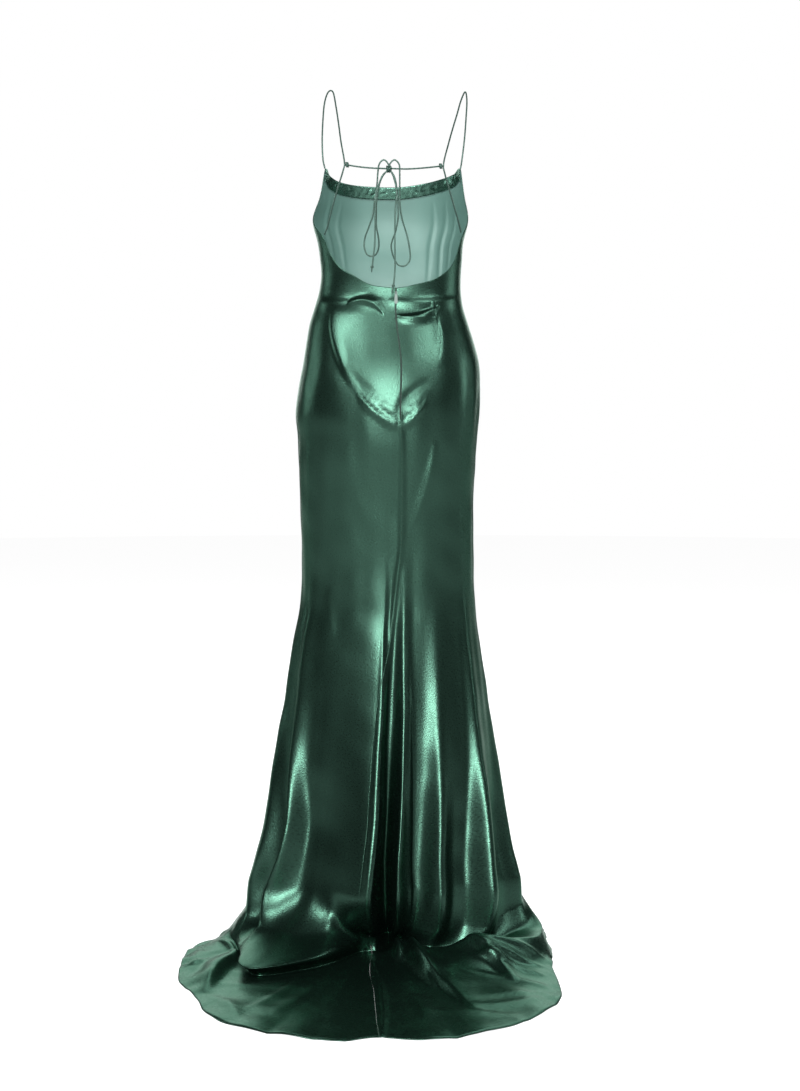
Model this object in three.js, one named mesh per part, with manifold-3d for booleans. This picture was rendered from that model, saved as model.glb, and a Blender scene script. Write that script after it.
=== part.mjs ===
// Long satin slip gown, held up by its straps. Millimetres, +Z up, the front faces -Y, the wearer's
// left is +X. The origin is midway between the strap tops, where shoulders carry the gown.
import * as THREE from 'three';
import * as BufferGeometryUtils from 'three/addons/utils/BufferGeometryUtils.js';
import Module from 'manifold-3d';

// Driving dimensions
const FLOOR = -1520; // the floor under the strap tops
const WALL = 1.4; // cloth with its turned hems
const SEAM_GAP = 0.3;
const ZIP_GAP = 2.8; // open slit over the zip's coil
const TAPE = { half: 8, coil: 1, under: 0.6, thickness: 1 }; // how far it lies under the cloth
const FACING = { under: 0.3, thickness: 1.1 };
const EDGE_TURN = 21; // depth of the turned top edge and of the neck facing
const YOKE = -400; // height where the slanted rows of the bodice become level
const ZIP_END = -578;
const ANKLE = 124; // height above the floor where the skirt starts to break
const SQUARENESS = 0.05; // how far the body sections stand out from an ellipse
const CORD = 2.8; // rouleau diameter
const CORD_SIDES = 8;

// Body sections: height above the floor, centre x, half-width, depth behind and before the axis
const SECTIONS = [
  { height: 1420, centre: -8, half: 122, back: 92, front: 106 },
  { height: 1382, centre: -7, half: 125, back: 90, front: 112 },
  { height: 1340, centre: -6, half: 130, back: 86, front: 124 },
  { height: 1297, centre: -3, half: 139, back: 84, front: 130 },
  { height: 1255, centre: -3, half: 130, back: 82, front: 122 },
  { height: 1226, centre: -4, half: 127, back: 82, front: 110 },
  { height: 1198, centre: -4, half: 125, back: 82, front: 101 },
  { height: 1169, centre: -2, half: 127, back: 84, front: 98 },
  { height: 1141, centre: 0, half: 133, back: 89, front: 99 },
  { height: 1112, centre: 0, half: 142, back: 97, front: 102 },
  { height: 1084, centre: -2, half: 149, back: 106, front: 106 },
  { height: 1041, centre: -4, half: 158, back: 120, front: 112 },
  { height: 998, centre: -1, half: 163, back: 130, front: 115 },
  { height: 955, centre: 2, half: 165, back: 134, front: 116 },
  { height: 912, centre: 2, half: 161, back: 132, front: 116 },
  { height: 868, centre: 3, half: 159, back: 126, front: 114 },
  { height: 796, centre: 4, half: 156, back: 114, front: 110 },
  { height: 688, centre: 2, half: 155, back: 104, front: 106 },
  { height: 615, centre: 2, half: 157, back: 104, front: 110 },
  { height: 564, centre: 4, half: 164, back: 109, front: 117 },
  { height: 499, centre: 5, half: 174, back: 120, front: 128 },
  { height: 433, centre: 5, half: 183, back: 133, front: 140 },
  { height: 367, centre: 6, half: 194, back: 147, front: 154 },
  { height: 301, centre: 6, half: 204, back: 160, front: 168 },
  { height: 235, centre: 6, half: 212, back: 172, front: 182 },
  { height: 168, centre: 8, half: 225, back: 184, front: 198 },
  { height: 124, centre: 7, half: 236, back: 190, front: 210 },
];

// Top edge: angle round the body (0 at the centre back, 90 at the wearer's left) and height
const TOP_EDGE = [
  { angle: -174, z: -154 },
  { angle: -158, z: -150 },
  { angle: -137, z: -142 },
  { angle: -120, z: -136 },
  { angle: -103, z: -131 },
  { angle: -97, z: -170 },
  { angle: -90, z: -207 },
  { angle: -82, z: -232 },
  { angle: -73, z: -248 },
  { angle: -65, z: -278 },
  { angle: -55, z: -306 },
  { angle: -38, z: -329 },
  { angle: -23, z: -339 },
  { angle: -8, z: -346 },
  { angle: 5, z: -345 },
  { angle: 17, z: -340 },
  { angle: 30, z: -325 },
  { angle: 44, z: -308 },
  { angle: 54, z: -284 },
  { angle: 62, z: -253 },
  { angle: 75, z: -236 },
  { angle: 90, z: -212 },
  { angle: 97, z: -173 },
  { angle: 103, z: -131 },
  { angle: 116, z: -139 },
  { angle: 131, z: -147 },
  { angle: 148, z: -152 },
  { angle: 167, z: -154 },
];

// Centre back seam: height above the floor and angle. Below the ankle the height stands for the
// way to the hem, which is at 0.
const BACK_SEAM = [
  { level: 1420, angle: -5 },
  { level: 1170, angle: -5 },
  { level: 951, angle: -8 },
  { level: 800, angle: -10 },
  { level: 678, angle: -8 },
  { level: 540, angle: -1 },
  { level: 440, angle: 4.5 },
  { level: 300, angle: 7 },
  { level: 200, angle: 8 },
  { level: 124, angle: 9.5 },
  { level: 74, angle: 12 },
  { level: 50, angle: 11 },
  { level: 37, angle: 7.5 },
  { level: 25, angle: 3.6 },
  { level: 0, angle: 1 },
];

// Skirt folds, in the order of their angles all round: a ridge or valley's angle at each of the
// fold heights, and how far it stands out (a valley is negative) at the floor and at the lowest
// three of those heights
const FOLD_HEIGHTS = [60, 200, 380, 640];
const FOLD_TOP = 800; // the folds have run out here
const FOLD_RISE = 0.12; // what is left of a fold at the highest row, as a share of the row below
const RIDGE_EDGE = 1.5; // how much tighter a fold bends at its ridge than in its valley
const FOLDS = [
  { name: 'front right inner valley', angles: [-157, -157, -158, -158], out: [-24, -24, -16, -5] },
  { name: 'front right ridge', angles: [-131, -132, -133, -134], out: [18, 18, 13, 4] },
  { name: 'front right side valley', angles: [-107, -107, -108, -109], out: [-18, -20, -14, -4] },
  { name: 'right side ridge', angles: [-76, -82, -88, -88], out: [8, 11, 9, 3] },
  { name: 'right hollow', angles: [-60, -65, -70, -72], out: [-6, -13, -13, -4] },
  { name: 'right broad ridge', angles: [-42, -48, -52, -56], out: [10, 28, 26, 9] },
  { name: 'right narrow valley', angles: [-32, -38, -44, -47], out: [-6, -14, -12, -4] },
  { name: 'right soft ridge', angles: [-21, -25, -29, -32], out: [4, 14, 9, 3] },
  { name: 'right inner valley', angles: [-12, -15, -18, -19], out: [-8, -14, -14, -5] },
  { name: 'centre ridge', angles: [-4, -6, -9, -11], out: [16, 30, 24, 9] },
  { name: 'centre pleat', angles: [0, -0.6, -2.5, -4], out: [-30, -80, -50, -14] },
  { name: 'seam ridge', angles: [9, 4, 2.6, 2], out: [12, 34, 28, 10] },
  { name: 'left broad valley', angles: [36, 39, 40, 40], out: [0, -14, -22, -10] },
  { name: 'left ridge', angles: [56, 48, 53, 58], out: [6, 22, 16, 6] },
  { name: 'left narrow valley', angles: [61, 55, 60, 66], out: [0, -12, -12, -4] },
  { name: 'left side ridge', angles: [70, 65, 75, 83], out: [6, 22, 16, 5] },
  { name: 'front left side valley', angles: [106, 107, 108, 108], out: [-18, -22, -15, -4] },
  { name: 'front left ridge', angles: [128, 130, 131, 132], out: [18, 18, 13, 4] },
  { name: 'front left inner valley', angles: [151, 151.5, 152, 152], out: [-24, -24, -16, -5] },
  { name: 'front middle ridge', angles: [175, 175.5, 176, 176], out: [20, 20, 14, 5] },
];

// Below the ankle, each profile runs through three points (distance from the axis and height) to
// the hem: the break or rolled lobe, the tuck behind it or the crest, and the middle of the train
const SWEEP = [
  { angle: -165, breakR: 219, breakZ: 84, tuckR: 231, tuckZ: 46, midR: 240, midZ: 18, hemR: 248 },
  { angle: -138, breakR: 242, breakZ: 84, tuckR: 254, tuckZ: 46, midR: 264, midZ: 18, hemR: 272 },
  { angle: -112, breakR: 258, breakZ: 84, tuckR: 272, tuckZ: 46, midR: 284, midZ: 18, hemR: 295 },
  { angle: -90, breakR: 254, breakZ: 70, tuckR: 268, tuckZ: 42, midR: 278, midZ: 18, hemR: 286 },
  { angle: -76, breakR: 250, breakZ: 40, tuckR: 280, tuckZ: 32, midR: 286, midZ: 18, hemR: 292 },
  { angle: -64, breakR: 240, breakZ: 28, tuckR: 300, tuckZ: 34, midR: 312, midZ: 18, hemR: 322 },
  { angle: -56, breakR: 232, breakZ: 24, tuckR: 306, tuckZ: 38, midR: 326, midZ: 16, hemR: 344 },
  { angle: -48, breakR: 224, breakZ: 22, tuckR: 288, tuckZ: 44, midR: 342, midZ: 12, hemR: 380 },
  { angle: -40, breakR: 214, breakZ: 22, tuckR: 262, tuckZ: 52, midR: 340, midZ: 12, hemR: 446 },
  { angle: -34, breakR: 208, breakZ: 22, tuckR: 250, tuckZ: 48, midR: 344, midZ: 12, hemR: 510 },
  { angle: -28, breakR: 202, breakZ: 22, tuckR: 236, tuckZ: 34, midR: 350, midZ: 10, hemR: 560 },
  { angle: -20, breakR: 188, breakZ: 24, tuckR: 210, tuckZ: 26, midR: 366, midZ: 7, hemR: 610 },
  { angle: -12, breakR: 162, breakZ: 26, tuckR: 182, tuckZ: 20, midR: 380, midZ: 6, hemR: 652 },
  { angle: -5, breakR: 130, breakZ: 28, tuckR: 156, tuckZ: 14, midR: 390, midZ: 6, hemR: 668 },
  { angle: 1, breakR: 112, breakZ: 26, tuckR: 150, tuckZ: 10, midR: 390, midZ: 6, hemR: 650 },
  { angle: 6, breakR: 128, breakZ: 28, tuckR: 150, tuckZ: 10, midR: 386, midZ: 6, hemR: 670 },
  { angle: 13, breakR: 150, breakZ: 34, tuckR: 152, tuckZ: 10, midR: 380, midZ: 6, hemR: 664 },
  { angle: 20, breakR: 184, breakZ: 30, tuckR: 166, tuckZ: 8, midR: 376, midZ: 5, hemR: 642 },
  { angle: 24, breakR: 278, breakZ: 27, tuckR: 238, tuckZ: 7, midR: 380, midZ: 5, hemR: 626 },
  { angle: 29, breakR: 344, breakZ: 25, tuckR: 308, tuckZ: 7, midR: 400, midZ: 5, hemR: 596 },
  { angle: 35, breakR: 400, breakZ: 24, tuckR: 376, tuckZ: 8, midR: 440, midZ: 5, hemR: 540 },
  { angle: 40, breakR: 392, breakZ: 25, tuckR: 370, tuckZ: 9, midR: 436, midZ: 5, hemR: 510 },
  { angle: 46, breakR: 352, breakZ: 28, tuckR: 336, tuckZ: 12, midR: 408, midZ: 6, hemR: 487 },
  { angle: 53, breakR: 320, breakZ: 27, tuckR: 318, tuckZ: 15, midR: 384, midZ: 9, hemR: 448 },
  { angle: 61, breakR: 302, breakZ: 30, tuckR: 308, tuckZ: 20, midR: 356, midZ: 12, hemR: 410 },
  { angle: 71, breakR: 284, breakZ: 40, tuckR: 296, tuckZ: 28, midR: 328, midZ: 14, hemR: 374 },
  { angle: 84, breakR: 266, breakZ: 62, tuckR: 280, tuckZ: 38, midR: 296, midZ: 14, hemR: 316 },
  { angle: 100, breakR: 262, breakZ: 84, tuckR: 276, tuckZ: 46, midR: 288, midZ: 18, hemR: 298 },
  { angle: 117, breakR: 262, breakZ: 84, tuckR: 280, tuckZ: 46, midR: 296, midZ: 18, hemR: 310 },
  { angle: 138, breakR: 242, breakZ: 84, tuckR: 256, tuckZ: 46, midR: 268, midZ: 18, hemR: 277 },
  { angle: 165, breakR: 219, breakZ: 84, tuckR: 231, tuckZ: 46, midR: 240, midZ: 18, hemR: 248 },
];
const HEM_Z = 2.2; // top face of the hem above the floor

const INSTEP = { across: 0.32, down: 0.7 }; // share of the way from the ankle to the break

// Folds that lie on the train: start and end on the floor, bow, width on the left and on the right
// of the way along the fold, height
const TRAIN_FOLDS = [
  { name: 'diagonal edge', from: [4, 150], to: [-134, 493], bow: 6, left: 50, right: 24, height: 17 },
  { name: 'arch', from: [-34, 118], to: [-74, 370], bow: -6, left: 26, right: 24, height: 14 },
  { name: 'crest fold', from: [-140, 205], to: [-212, 330], bow: 8, left: 28, right: 24, height: 10 },
  { name: 'left fold', from: [262, 190], to: [302, 392], bow: -14, left: 26, right: 34, height: 15 },
];
const TRAIN_EASE = 0.6; // share of a fold's height that is gone at the hem
const TRAIN_EASE_WAY = { start: 0.8, full: 1 }; // share of the way from the ankle to the hem
const LYING = { start: 0.44, full: 0.64, sideStart: 80, sideEnd: 100 }; // where folds lie: way, angle
const FOLD_END = { width: 0.45, taper: 0.7 }; // a train fold's width at its ends, and how it swells
const FRONT_HEM = { start: 85, full: 115 }; // angles over which the hem takes on the skirt's folds
const TUCK_FOLD = 0.5; // share of the skirt's folds left in the tuck behind
const LEAVE = 20; // height over which the body's direction at the ankle is taken

// Rows down the cloth
const BODICE_ROWS = 6; // between the turned edge and the yoke level
const HIP_LEVELS = [-445, -490, -535, ZIP_END, -625, -680, -740, -800, -860, -915, -965, -1010];
const SKIRT_STEP = 48;
const ANKLE_CLEAR = 12; // least distance of a level row above the ankle
const SEAM_ROWS_AT = -6; // angle whose rows the centre back seam follows
const SIDE_SEAM = { topRadius: 135, footRadius: 290, lean: 6 }; // lean in degrees at the hem
const SWEEP_ROWS = 14;

// Straps, tie and bow, points chosen along each cord. A strap also runs on down to the front corner
// and to the back edge, where it is sewn in.
const STRAP_SEATS = {
  left: { front: 103, back: 62 },
  right: { front: -103, back: -73 },
};
const SEAT_CLEAR = { front: 0.6, back: 0.6 }; // cord's end above the edge, more where it leans
const STRAP_ROUTES = {
  left: [
    [118.5, -31, -112], [120, -36, -80], [118.5, -29, -45], [115, -17, -14],
    [108, -4, 3.5], [99, 9, 2], [93, 28, -27], [88, 48, -59], [83.4, 68, -92], [77, 87, -129],
    [79, 90, -143], [90, 82, -177], [101, 64, -213], [108, 49, -238],
  ],
  right: [
    [-131.5, -31, -112], [-136, -34, -75], [-138.5, -25, -38], [-139.5, -13, -10],
    [-136, 1, 3.5], [-128, 14, -14], [-121, 30, -39], [-113, 48, -66], [-105, 66, -95],
    [-96, 88, -132], [-98.5, 89, -150], [-107.5, 78, -180], [-118, 56, -212], [-125, 37, -234],
  ],
};
const TIE_ROUTES = {
  left: [[68.4, 90.6, -134.7], [50, 96, -138], [28, 101, -140.5], [4.5, 104.2, -141.7]],
  right: [[-87.3, 91.6, -136.7], [-64, 96, -139.5], [-34, 101, -142], [-6.6, 104.2, -141.7]],
};
const LOOP_ROUTES = {
  left: [
    [3.5, 104.5, -147.3], [12, 105, -153], [20, 106, -169], [24, 107, -196], [27, 105, -222],
    [34, 103, -242], [41, 101, -261], [42, 101, -279], [36, 101, -291], [25, 102, -292],
    [18, 104, -282], [17, 107, -265], [21, 110, -241], [21, 113, -205], [17, 114, -175],
    [11, 113, -157], [3.5, 111.5, -147.3],
  ],
  right: [
    [-5.5, 104.5, -147.3], [-13, 105, -154], [-19, 106, -170], [-20, 107, -205], [-24, 105, -230],
    [-32, 103, -256], [-37, 102, -282], [-37, 102, -300], [-27, 102, -310], [-15, 103, -306],
    [-7, 105, -289], [-5, 107, -272], [-13, 110, -248], [-17, 112.5, -222], [-15.5, 113.5, -188],
    [-12, 113, -162], [-5.5, 111.5, -147.3],
  ],
};
const END_ROUTES = {
  left: [
    [1.2, 115.8, -145.8], [12, 118, -158], [21, 119, -188], [23, 118, -231], [24, 117, -274],
    [27, 116, -300], [29.5, 116, -322],
  ],
  right: [
    [-3.2, 115.8, -145.8], [-9, 118, -158], [-14, 119.5, -182], [-12, 120, -217], [-11, 121, -265],
    [-11.5, 121.5, -303], [-10, 121.5, -334], [-5.5, 121.5, -359],
  ],
};
const END_KNOT = { radius: 2.3, at: 0.93 }; // small knot near each free end
const BOW_KNOT = { centre: [-1, 108, -143], radii: [6, 8, 6.5] };
const STRAP_KNOTS = { left: [72.1, 89.2, -133.5], right: [-91, 90.2, -136] };
const STRAP_KNOT_RADII = [3.6, 4.2, 5];

// Zip slider and its teardrop pull
const SLIDER = {
  width: 1.4, height: 5, archOuter: 2.1, archInner: 1.15, below: 8, at: -5, stand: 0.5, inset: 0.2,
};
const PULL = {
  length: 21, width: 6, neck: 4.4, thickness: 1.2, window: 2.6, lean: 0.16, rim: 1, bridge: 1.5,
  shoulder: 0.55,
};

const wasm = await Module();
wasm.setup();

const degrees = THREE.MathUtils.degToRad;
const mix = THREE.MathUtils.lerp;

function wrapAngle(angle) {
  return ((angle + 180) % 360 + 360) % 360 - 180;
}

// Smooth curve through the rows of a table, by cubic Hermite pieces with the tangent at each row
// taken from its two neighbours. A periodic table closes on itself after one full turn.
function tableCurve(rows, key, column, period = 0) {
  const count = rows.length;
  const row = (i) => {
    if (!period) return rows[THREE.MathUtils.clamp(i, 0, count - 1)];
    return rows[((i % count) + count) % count];
  };
  const keyOf = (i) => row(i)[key] + (period ? Math.floor(i / count) * period : 0);
  const slope = (i) => {
    const span = keyOf(i + 1) - keyOf(i - 1);
    return span ? (row(i + 1)[column] - row(i - 1)[column]) / span : 0;
  };
  return (at) => {
    let i = period ? -1 : 0;
    const last = period ? count - 1 : count - 2;
    while (i < last && at > keyOf(i + 1)) i += 1;
    const width = keyOf(i + 1) - keyOf(i);
    const t = THREE.MathUtils.clamp((at - keyOf(i)) / width, 0, 1);
    const [a, b] = [row(i)[column], row(i + 1)[column]];
    const [ta, tb] = [slope(i) * width, slope(i + 1) * width];
    return a * (1 + 2 * t) * (1 - t) ** 2 + ta * t * (1 - t) ** 2
      + b * t * t * (3 - 2 * t) + tb * t * t * (t - 1);
  };
}

const RISING = [...SECTIONS].reverse();
const section = Object.fromEntries(['centre', 'half', 'back', 'front']
  .map((column) => [column, tableCurve(RISING, 'height', column)]));
const sweep = Object.fromEntries(['breakR', 'breakZ', 'tuckR', 'tuckZ', 'midR', 'midZ', 'hemR']
  .map((column) => [column, tableCurve(SWEEP, 'angle', column, 360)]));
const topCurve = tableCurve(TOP_EDGE, 'angle', 'z', 360);
const seamCurve = tableCurve([...BACK_SEAM].reverse(), 'level', 'angle');
const topEdge = (angle) => topCurve(wrapAngle(angle));

const foldLines = FOLDS.map(({ angles, out }) => ({
  angle: tableCurve(angles.map((angle, i) => ({ height: FOLD_HEIGHTS[i], angle })), 'height', 'angle'),
  depth: tableCurve([...out.slice(1), FOLD_RISE * out.at(-1), 0]
    .map((depth, i) => ({ height: [...FOLD_HEIGHTS, FOLD_TOP][i], depth })), 'height', 'depth'),
  floor: out[0],
}));

// Relief of the folds at an angle and a height above the floor. From each ridge or valley to the
// next it climbs by a smooth step of the share of the way, counted from the valley.
function foldRelief(angle, height, onFloor = false) {
  const lines = foldLines.map((line) => [line.angle(height), onFloor ? line.floor : line.depth(height)]);
  const [first, depth] = lines[0];
  const turned = first + ((angle - first) % 360 + 360) % 360;
  const next = lines.findIndex(([at]) => at > turned);
  const [start, low] = next < 0 ? lines.at(-1) : lines[next - 1];
  const [end, high] = next < 0 ? [first + 360, depth] : lines[next];
  const share = (turned - start) / (end - start);
  const step = (t) => THREE.MathUtils.smoothstep(t ** RIDGE_EDGE, 0, 1);
  return high > low ? mix(low, high, step(share)) : mix(high, low, step(1 - share));
}

// Point of the body above the ankle, from its height over the floor
function bodyPoint(angle, height) {
  const turn = degrees(angle);
  const [across, along] = [Math.sin(turn), Math.cos(turn)];
  const bulge = 1 + SQUARENESS * Math.sin(2 * turn) ** 2;
  const half = section.half(height);
  const depth = along > 0 ? section.back(height) : section.front(height);
  const relief = foldRelief(angle, height);
  return new THREE.Vector3(
    section.centre(height) + (half * bulge + relief) * across,
    (depth * bulge + relief) * along,
    FLOOR + height,
  );
}

// Height of the folds on the train at a place on the floor. Each is a bell across a bowed line,
// with its own width on each side, highest at its middle and narrower towards its ends.
function trainRelief(x, y) {
  let relief = 0;
  for (const { from, to, bow, left, right, height } of TRAIN_FOLDS) {
    const [along, beside] = [to[0] - from[0], to[1] - from[1]];
    const length = Math.hypot(along, beside);
    const share = ((x - from[0]) * along + (y - from[1]) * beside) / length ** 2;
    const across = ((y - from[1]) * along - (x - from[0]) * beside) / length
      - bow * 4 * share * (1 - share);
    const swell = Math.sin(Math.PI * THREE.MathUtils.clamp(share, 0, 1)) ** FOLD_END.taper;
    const width = (across > 0 ? left : right) * mix(FOLD_END.width, 1, swell);
    relief += height * swell * Math.exp(-((across / width) ** 2));
  }
  return relief;
}

// Point of the cloth. A level from 0 up is a height above the ankle on the body. From 0 to -1 a
// Hermite curve runs through the instep, the break, the tuck and the middle of the train to the
// hem. It leaves the body in the body's own direction, and at each further point its tangent is the
// mean of the two chords there.
function clothPoint(angle, level) {
  if (level >= 0) return bodyPoint(angle, ANKLE + level);
  const turn = degrees(angle);
  const wrapped = wrapAngle(angle);
  const onFloor = (radius, z) => new THREE.Vector3(radius * Math.sin(turn), radius * Math.cos(turn),
    FLOOR + z);
  const low = foldRelief(angle, FOLD_HEIGHTS[0], true);
  const front = THREE.MathUtils.smoothstep(Math.abs(wrapped), FRONT_HEM.start,
    FRONT_HEM.full);
  const ankle = bodyPoint(angle, ANKLE);
  const broken = onFloor(sweep.breakR(wrapped) + low, sweep.breakZ(wrapped));
  const way = broken.clone().sub(ankle);
  const points = [
    ankle,
    ankle.clone().add(new THREE.Vector3(way.x * INSTEP.across, way.y * INSTEP.across,
      way.z * INSTEP.down)),
    broken,
    onFloor(sweep.tuckR(wrapped) + mix(TUCK_FOLD, 1, front) * low, sweep.tuckZ(wrapped)),
    onFloor(sweep.midR(wrapped) + front * low, sweep.midZ(wrapped)),
    onFloor(sweep.hemR(wrapped) + front * low, HEM_Z),
  ];
  const chords = points.slice(1).map((point, i) => point.clone().sub(points[i]));
  const leave = ankle.clone().sub(bodyPoint(angle, ANKLE + LEAVE)).setLength(chords[0].length());
  const pulls = [leave, ...chords.slice(1).map((chord, i) => chordMean(chords[i], chord)), chords.at(-1)];
  const along = -level * chords.length;
  const i = Math.min(Math.floor(along), chords.length - 1);
  const point = hermitePoint(points[i], pulls[i], points[i + 1], pulls[i + 1], along - i);
  const lying = THREE.MathUtils.smoothstep(-level, LYING.start, LYING.full)
    * (1 - THREE.MathUtils.smoothstep(Math.abs(wrapped), LYING.sideStart, LYING.sideEnd));
  const ease = 1 - TRAIN_EASE * THREE.MathUtils.smoothstep(-level, TRAIN_EASE_WAY.start,
    TRAIN_EASE_WAY.full);
  point.z = Math.max(point.z + lying * ease * trainRelief(point.x, point.y), FLOOR + HEM_Z);
  return point;
}

// Mean of two chords, the shorter one counting more, and as long as the shorter one
function chordMean(before, after) {
  const [first, second] = [before.length(), after.length()];
  return before.clone().multiplyScalar(second / first).addScaledVector(after, first / second)
    .multiplyScalar(Math.min(first, second) / (first + second));
}

function hermitePoint(a, slopeA, b, slopeB, t) {
  return new THREE.Vector3()
    .addScaledVector(a, (1 + 2 * t) * (1 - t) ** 2)
    .addScaledVector(slopeA, t * (1 - t) ** 2)
    .addScaledVector(b, t * t * (3 - 2 * t))
    .addScaledVector(slopeB, t * t * (t - 1));
}

// Outward normal of the cloth, from its slopes round and down
function clothNormal(angle, level) {
  const [turn, drop] = [0.4, level > 0 ? 2 : 0.01];
  const round = clothPoint(angle + turn, level).sub(clothPoint(angle - turn, level));
  const down = clothPoint(angle, level - drop).sub(clothPoint(angle, level + drop));
  return round.cross(down).normalize();
}

// Levels of the rows at an angle: top edge, turned edge, slanted bodice rows, level rows, sweep
function rowLevels(angle) {
  const top = topEdge(angle);
  const levels = [top];
  for (let i = 0; i < BODICE_ROWS; i += 1) levels.push(mix(top - EDGE_TURN, YOKE, i / BODICE_ROWS));
  levels.push(YOKE, ...HIP_LEVELS);
  const lowest = FLOOR + ANKLE + ANKLE_CLEAR;
  for (let z = HIP_LEVELS.at(-1) - SKIRT_STEP; z > lowest; z -= SKIRT_STEP) levels.push(z);
  const rows = levels.map((z) => z - FLOOR - ANKLE);
  for (let i = 0; i <= SWEEP_ROWS; i += 1) rows.push(-i / SWEEP_ROWS);
  return rows;
}

const ROW_COUNT = rowLevels(0).length;
const ZIP_ROW = rowLevels(0).findIndex((level) => level === ZIP_END - FLOOR - ANKLE);

// Angle of the centre back seam at a level, and of a point a given distance beside it
function seamAngle(level) {
  return seamCurve(level >= 0 ? ANKLE + level : ANKLE * (1 + level));
}

function besideSeam(row, distance) {
  const level = rowLevels(SEAM_ROWS_AT)[row];
  const angle = seamAngle(level);
  const drop = level > 0 ? 5 : 0.02;
  const onSeam = (at) => clothPoint(seamAngle(at), at);
  const seam = onSeam(level - drop).sub(onSeam(level + drop)).normalize();
  const round = clothPoint(angle + 0.1, level).sub(clothPoint(angle - 0.1, level));
  return angle + 0.2 * distance / round.cross(seam).length();
}

// Side seams lean a little to the front towards the floor
function sideSeam(side, row, distance) {
  const share = row / ROW_COUNT;
  const radius = mix(SIDE_SEAM.topRadius, SIDE_SEAM.footRadius, share ** 2);
  return side * 90 + side * SIDE_SEAM.lean * share ** 2 + THREE.MathUtils.radToDeg(distance / radius);
}

// A closed sheet between an outer and an inner grid of points, with walls all round its edge
function sheetGeometry(outer, inner) {
  const [rows, columns] = [outer.length, outer[0].length];
  const positions = [];
  for (const grid of [outer, inner]) {
    for (const row of grid) for (const point of row) positions.push(point.x, point.y, point.z);
  }
  const index = [];
  const at = (face, row, column) => (face * rows + row) * columns + column;
  const quad = (a, b, c, d) => index.push(a, c, b, a, d, c);
  for (let row = 0; row + 1 < rows; row += 1) {
    for (let column = 0; column + 1 < columns; column += 1) {
      quad(at(0, row, column), at(0, row + 1, column), at(0, row + 1, column + 1),
        at(0, row, column + 1));
      quad(at(1, row, column), at(1, row, column + 1), at(1, row + 1, column + 1),
        at(1, row + 1, column));
    }
  }
  const rim = (row, column, nextRow, nextColumn) => quad(at(0, row, column),
    at(0, nextRow, nextColumn), at(1, nextRow, nextColumn), at(1, row, column));
  for (let column = 0; column + 1 < columns; column += 1) {
    rim(0, column, 0, column + 1);
    rim(rows - 1, column + 1, rows - 1, column);
  }
  // both sides' walls are split along the same diagonal, so that they stay parallel at a seam
  for (let row = 0; row + 1 < rows; row += 1) {
    const last = columns - 1;
    rim(row + 1, 0, row, 0);
    quad(at(0, row + 1, last), at(1, row + 1, last), at(1, row, last), at(0, row, last));
  }
  const geometry = new THREE.BufferGeometry();
  geometry.setAttribute('position', new THREE.Float32BufferAttribute(positions, 3));
  geometry.setIndex(index);
  geometry.computeVertexNormals();
  return geometry;
}

// Cloth between two depths under the outer face. angleAt gives each row's column angles.
function clothSheet(rows, angleAt, depthOut, depthIn, levelAt = (row, angle) => rowLevels(angle)[row]) {
  const [outer, inner] = [[], []];
  for (const row of rows) {
    const angles = angleAt(row);
    const points = angles.map((angle) => {
      const level = levelAt(row, angle);
      return [clothPoint(angle, level), clothNormal(angle, level)];
    });
    outer.push(points.map(([point, normal]) => point.clone().addScaledVector(normal, -depthOut)));
    inner.push(points.map(([point, normal]) => point.clone().addScaledVector(normal, -depthIn)));
  }
  return sheetGeometry(outer, inner);
}

const allRows = Array.from({ length: ROW_COUNT }, (_, row) => row);

// Back panels: columns close together at the pleated centre, wider towards the side
function backPanel(side) {
  const columns = 23;
  const angleAt = (row) => {
    const slit = row <= ZIP_ROW ? ZIP_GAP : SEAM_GAP;
    const inner = besideSeam(row, side * slit / 2);
    const outer = sideSeam(side, row, -side * SEAM_GAP / 2);
    const angles = Array.from({ length: columns + 1 }, (_, i) => mix(inner, outer,
      (i / columns) ** 1.3));
    return side > 0 ? angles : angles.reverse();
  };
  return clothSheet(allRows, angleAt, 0, WALL);
}

// Front panel columns: the armhole edges have columns of their own
const FRONT_ARM = 103;
function frontAngles(row) {
  const from = sideSeam(1, row, SEAM_GAP / 2);
  const to = 360 + sideSeam(-1, row, -SEAM_GAP / 2);
  const steps = 15;
  const middle = Array.from({ length: steps + 1 }, (_, i) => mix(FRONT_ARM, 360 - FRONT_ARM, i / steps));
  return [from, mix(from, FRONT_ARM, 0.5), ...middle, mix(360 - FRONT_ARM, to, 0.5), to];
}

function frontPanel() {
  return clothSheet(allRows, frontAngles, 0, WALL);
}

function neckFacing() {
  const angles = (row) => frontAngles(row).slice(2, -2);
  const top = WALL + FACING.under;
  return clothSheet([0, 1], angles, top, top + FACING.thickness);
}

function zipTape() {
  const rows = allRows.slice(0, ZIP_ROW + 1);
  const top = WALL + TAPE.under;
  const columns = [-TAPE.half, -TAPE.coil, TAPE.coil, TAPE.half];
  return clothSheet(rows, (row) => columns.map((distance) => besideSeam(row, distance)), top,
    top + TAPE.thickness);
}

function cordGeometry(points, steps) {
  const path = new THREE.CatmullRomCurve3(points.map((point) => new THREE.Vector3(...point)));
  const outline = new THREE.Shape(Array.from({ length: CORD_SIDES }, (_, i) => {
    const turn = 2 * Math.PI * i / CORD_SIDES;
    return new THREE.Vector2(CORD / 2 * Math.cos(turn), CORD / 2 * Math.sin(turn));
  }));
  return new THREE.ExtrudeGeometry(outline, { steps, extrudePath: path, bevelEnabled: false });
}

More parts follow.
